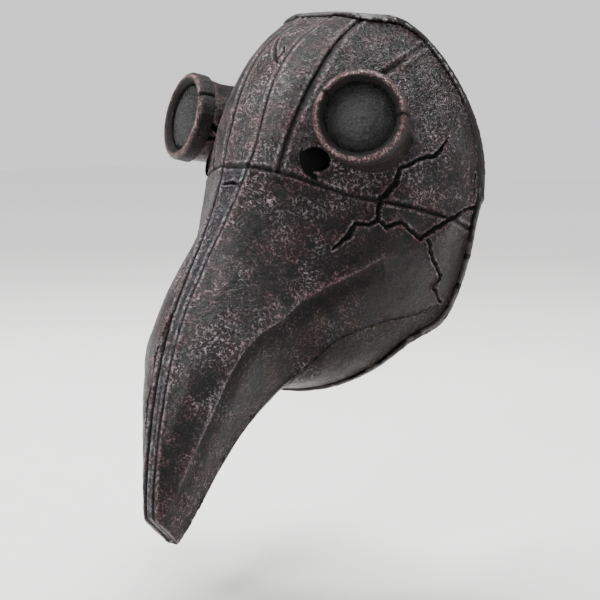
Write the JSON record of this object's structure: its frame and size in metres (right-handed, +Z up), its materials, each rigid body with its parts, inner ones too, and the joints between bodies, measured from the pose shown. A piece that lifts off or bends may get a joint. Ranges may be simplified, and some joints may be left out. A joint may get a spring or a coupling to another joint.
{
  "type": "plague doctor mask",
  "caption": "Long-beaked plague doctor mask with raised round goggles, seamed skin panels, a rolled rim and an elastic head strap with a slider.",
  "frame": {"origin": "middle of the wearer's head inside the mask, level with the ears, on the mid-plane", "axes": "+Z up, wearer faces -Y, +X towards the wearer's left"},
  "size_m": [0.216, 0.2907, 0.3627],
  "materials": {
    "skin": "moulded latex, antiqued charcoal with dry-brushed copper and silver",
    "goggle": "moulded latex, brushed copper over charcoal",
    "lens": "near-black opaque domed lens with fine wrinkles",
    "rim": "dark rolled latex bead",
    "strap": "black woven elastic",
    "slider": "black moulded acetal",
    "pin": "plain headed steel pin"
  },
  "bodies": {
    "mask": {"crown_strip": "skin", "bridge_strip": "skin", "beak_underside": "skin", "throat_panel": "skin", "brow_panel_left": "skin", "brow_panel_right": "skin", "eye_panel_left": "skin", "eye_panel_right": "skin", "cheek_panel_left": "skin", "cheek_panel_right": "skin", "strap_boss_left": "skin", "strap_boss_right": "skin", "goggle_tube_left": "goggle", "goggle_tube_right": "goggle", "goggle_ring_left": "goggle", "goggle_ring_right": "goggle", "lens_left": "lens", "lens_right": "lens", "rim_bead": "rim", "strap_pin_left": "pin", "strap_pin_right": "pin"},
    "strap": {"strap_band": "strap"},
    "slider": {"strap_slider": "slider"}
  },
  "joints": [
    {"name": "strap_swing", "type": "hinge", "parent": "mask", "child": "strap", "pos_m": [0, 0.042, 0], "axis": [1, 0, 0], "range_deg": [-40, 40]},
    {"name": "slider_slide", "type": "slide", "parent": "strap", "child": "slider", "axis": [1, 0, 0], "range_m": [-0.078, 0.004]}
  ]
}
